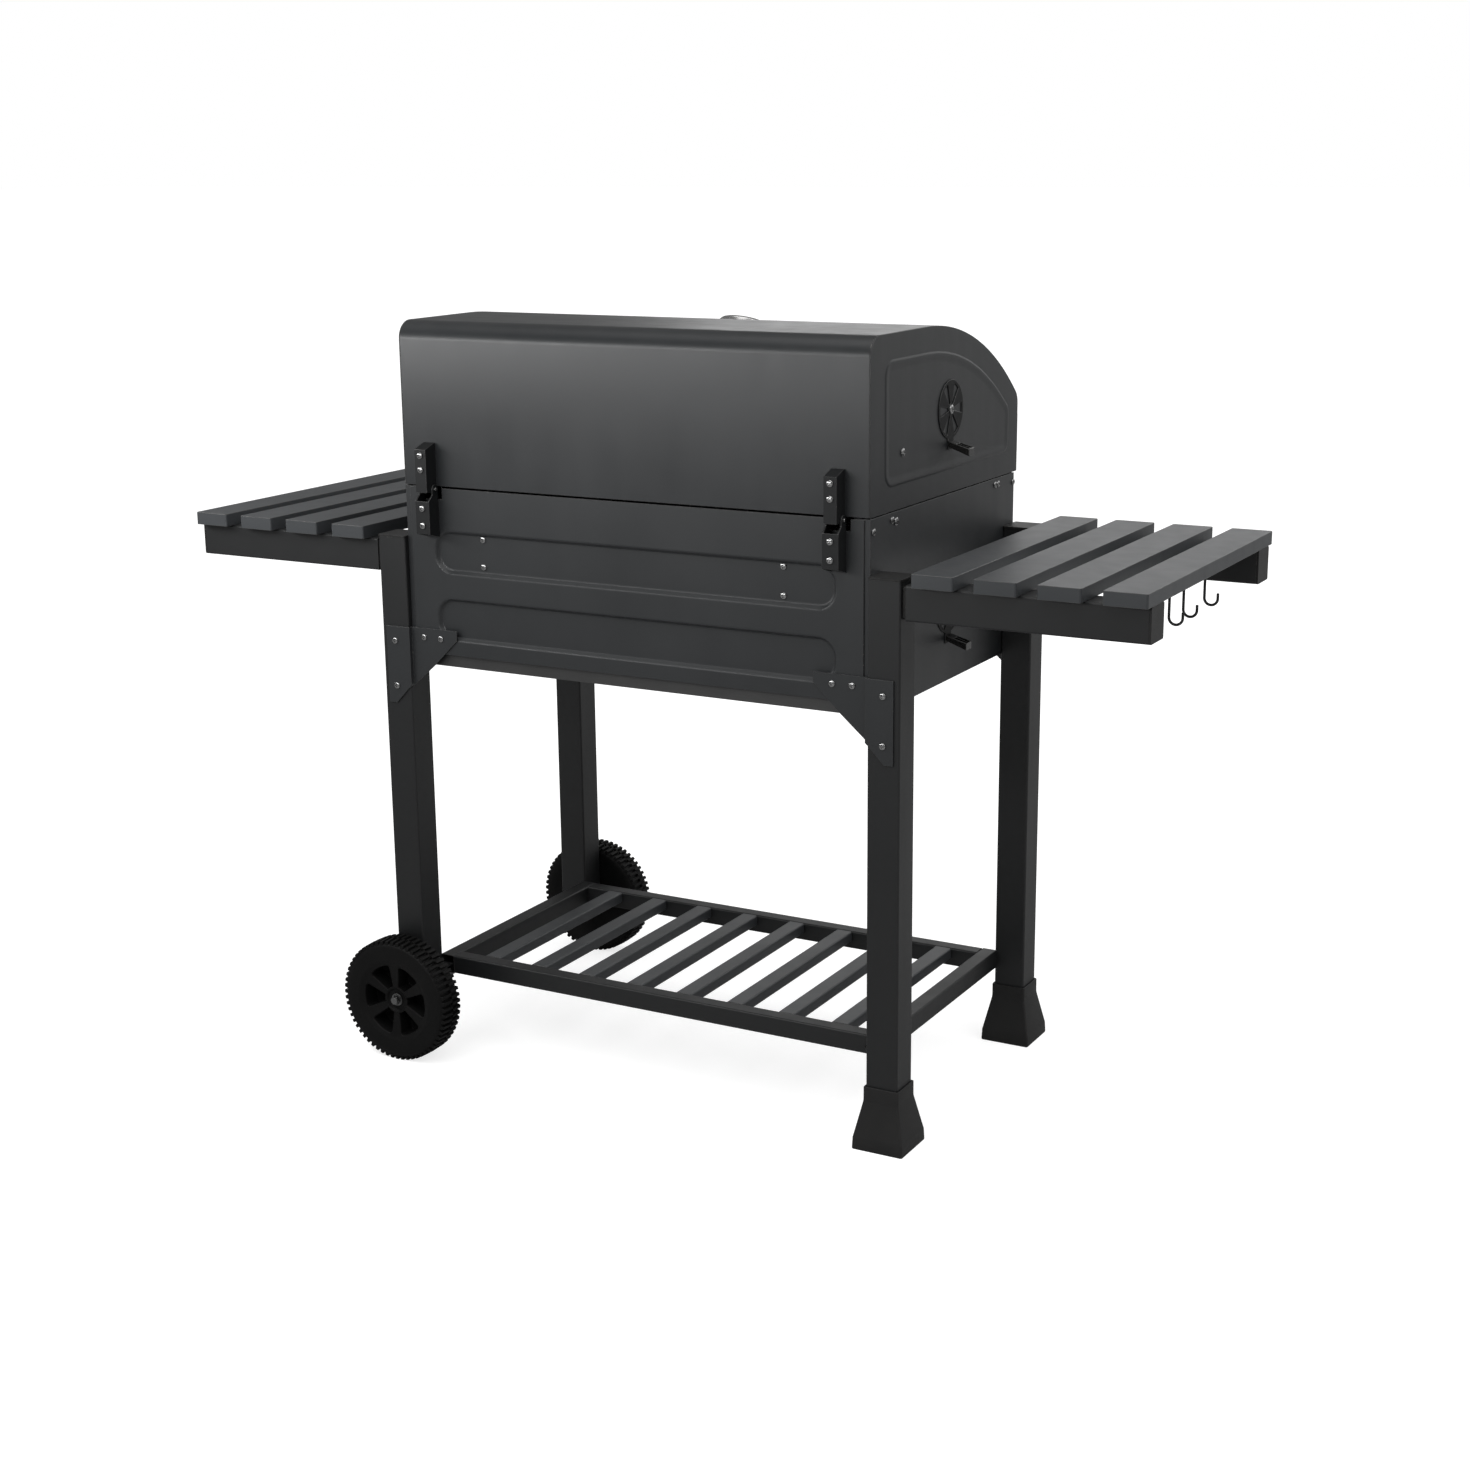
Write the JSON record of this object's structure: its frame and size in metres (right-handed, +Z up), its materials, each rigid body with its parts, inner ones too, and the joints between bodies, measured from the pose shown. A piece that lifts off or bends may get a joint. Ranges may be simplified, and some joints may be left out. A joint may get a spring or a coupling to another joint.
{
  "type": "charcoal grill cart",
  "caption": "Large charcoal grill on a wheeled cart: hinged domed lid with gauge and handle, vented firebox, lifting charcoal trays, slatted side tables, lower shelf.",
  "frame": {"origin": "on the ground under the middle of the cart", "axes": "+X along the cart from the foot end to the wheel end, -Y towards the front with the lid's handle, +Z up"},
  "size_m": [1.596, 0.634, 1.169],
  "materials": {
    "black_paint": "satin black powder coat",
    "box_paint": "satin black heat-proof paint",
    "lid_paint": "satin black heat-proof paint",
    "slat_paint": "satin black powder coat, lightly textured",
    "black_plastic": "matte moulded plastic",
    "knob_plastic": "glossy moulded plastic",
    "bright_steel": "zinc-plated, bright",
    "brushed_steel": "brushed",
    "enamel_grate": "enamelled",
    "tray_steel": "dark heat-proof paint",
    "chrome_wire": "chrome plated wire",
    "dial_face": "printed pale dial"
  },
  "bodies": {
    "cart": {"leg_rear_left": "black_paint", "leg_rear_right": "black_paint", "leg_front_left": "black_paint", "leg_front_right": "black_paint", "tube_caps": "black_plastic", "foot_rear": "black_plastic", "foot_front": "black_plastic", "gussets": "box_paint", "firebox_rear": "box_paint", "firebox_front": "box_paint", "firebox_left_end": "box_paint", "firebox_right_end": "box_paint", "firebox_floor": "tray_steel", "grate_ledges": "tray_steel", "tray_guides": "tray_steel", "cooking_grate_left": "enamel_grate", "cooking_grate_middle": "enamel_grate", "cooking_grate_right": "enamel_grate", "table_beams_left": "black_paint", "table_beams_right": "black_paint", "table_slats_left": "slat_paint", "table_slats_right": "slat_paint", "beam_brackets": "black_plastic", "tool_hooks": "black_paint", "shelf_end_rails": "black_paint", "shelf_long_rails": "black_paint", "shelf_slat_set": "slat_paint", "shelf_brackets": "black_paint", "wheel_axle": "bright_steel", "axle_nuts": "bright_steel", "hinge_brackets_lower": "box_paint", "hinge_pins": "bright_steel", "cart_screws": "bright_steel", "lift_slot_plates": "brushed_steel"},
    "lid": {"lid_shell": "lid_paint", "lid_left_end": "lid_paint", "lid_right_end": "lid_paint", "hinge_brackets_upper": "box_paint", "lid_handle": "brushed_steel", "handle_standoffs": "black_plastic", "gauge_bezel": "bright_steel", "gauge_dial": "dial_face", "gauge_stem": "bright_steel", "lid_screws": "bright_steel"},
    "rear_wheel": {"wheel_rear": "black_plastic"},
    "front_wheel": {"wheel_front": "black_plastic"},
    "lid_damper_left": {"damper_lid_left": "black_paint", "knob_lid_left": "knob_plastic"},
    "lid_damper_right": {"damper_lid_right": "black_paint", "knob_lid_right": "knob_plastic"},
    "box_damper_left": {"damper_box_left": "black_paint", "knob_box_left": "knob_plastic"},
    "box_damper_right": {"damper_box_right": "black_paint", "knob_box_right": "knob_plastic"},
    "tray_left": {"charcoal_tray_left": "tray_steel", "tray_handle_left": "brushed_steel"},
    "tray_right": {"charcoal_tray_right": "tray_steel", "tray_handle_right": "brushed_steel"},
    "rack": {"warming_rack": "chrome_wire"},
    "links": {"rack_links": "chrome_wire"}
  },
  "joints": [
    {"name": "lid_hinge", "type": "hinge", "parent": "cart", "child": "lid", "pos_m": [0, 0.2645, 0.92], "axis": [-1, 0, 0], "range_deg": [0, 88]},
    {"name": "rack_pivot", "type": "hinge", "parent": "lid", "child": "rack", "pos_m": [0, 0.154, 1.002], "axis": [-1, 0, 0], "range_deg": [-88, 0]},
    {"name": "link_pivot", "type": "hinge", "parent": "cart", "child": "links", "pos_m": [0, 0.174, 0.908], "axis": [-1, 0, 0], "range_deg": [0, 88]},
    {"name": "rear_wheel_spin", "type": "hinge", "parent": "cart", "child": "rear_wheel", "pos_m": [0.418, 0.293, 0.1], "axis": [0, 1, 0], "continuous": true},
    {"name": "front_wheel_spin", "type": "hinge", "parent": "cart", "child": "front_wheel", "pos_m": [0.418, -0.293, 0.1], "axis": [0, 1, 0], "continuous": true},
    {"name": "lid_damper_left_turn", "type": "hinge", "parent": "lid", "child": "lid_damper_left", "pos_m": [-0.394, -0.008, 1.045], "axis": [1, 0, 0], "range_deg": [0, 30]},
    {"name": "lid_damper_right_turn", "type": "hinge", "parent": "lid", "child": "lid_damper_right", "pos_m": [0.394, -0.008, 1.045], "axis": [1, 0, 0], "range_deg": [0, 30]},
    {"name": "box_damper_left_turn", "type": "hinge", "parent": "cart", "child": "box_damper_left", "pos_m": [-0.394, -0.008, 0.758], "axis": [1, 0, 0], "range_deg": [0, 30]},
    {"name": "box_damper_right_turn", "type": "hinge", "parent": "cart", "child": "box_damper_right", "pos_m": [0.394, -0.008, 0.758], "axis": [1, 0, 0], "range_deg": [0, 30]},
    {"name": "tray_left_lift", "type": "slide", "parent": "cart", "child": "tray_left", "axis": [0, 0, 1], "range_m": [0, 0.08]},
    {"name": "tray_right_lift", "type": "slide", "parent": "cart", "child": "tray_right", "axis": [0, 0, 1], "range_m": [0, 0.08]}
  ],
  "couplings": [
    {"joint": "rack_pivot", "follows": "lid_hinge", "ratio": -1},
    {"joint": "link_pivot", "follows": "lid_hinge", "ratio": 1}
  ]
}
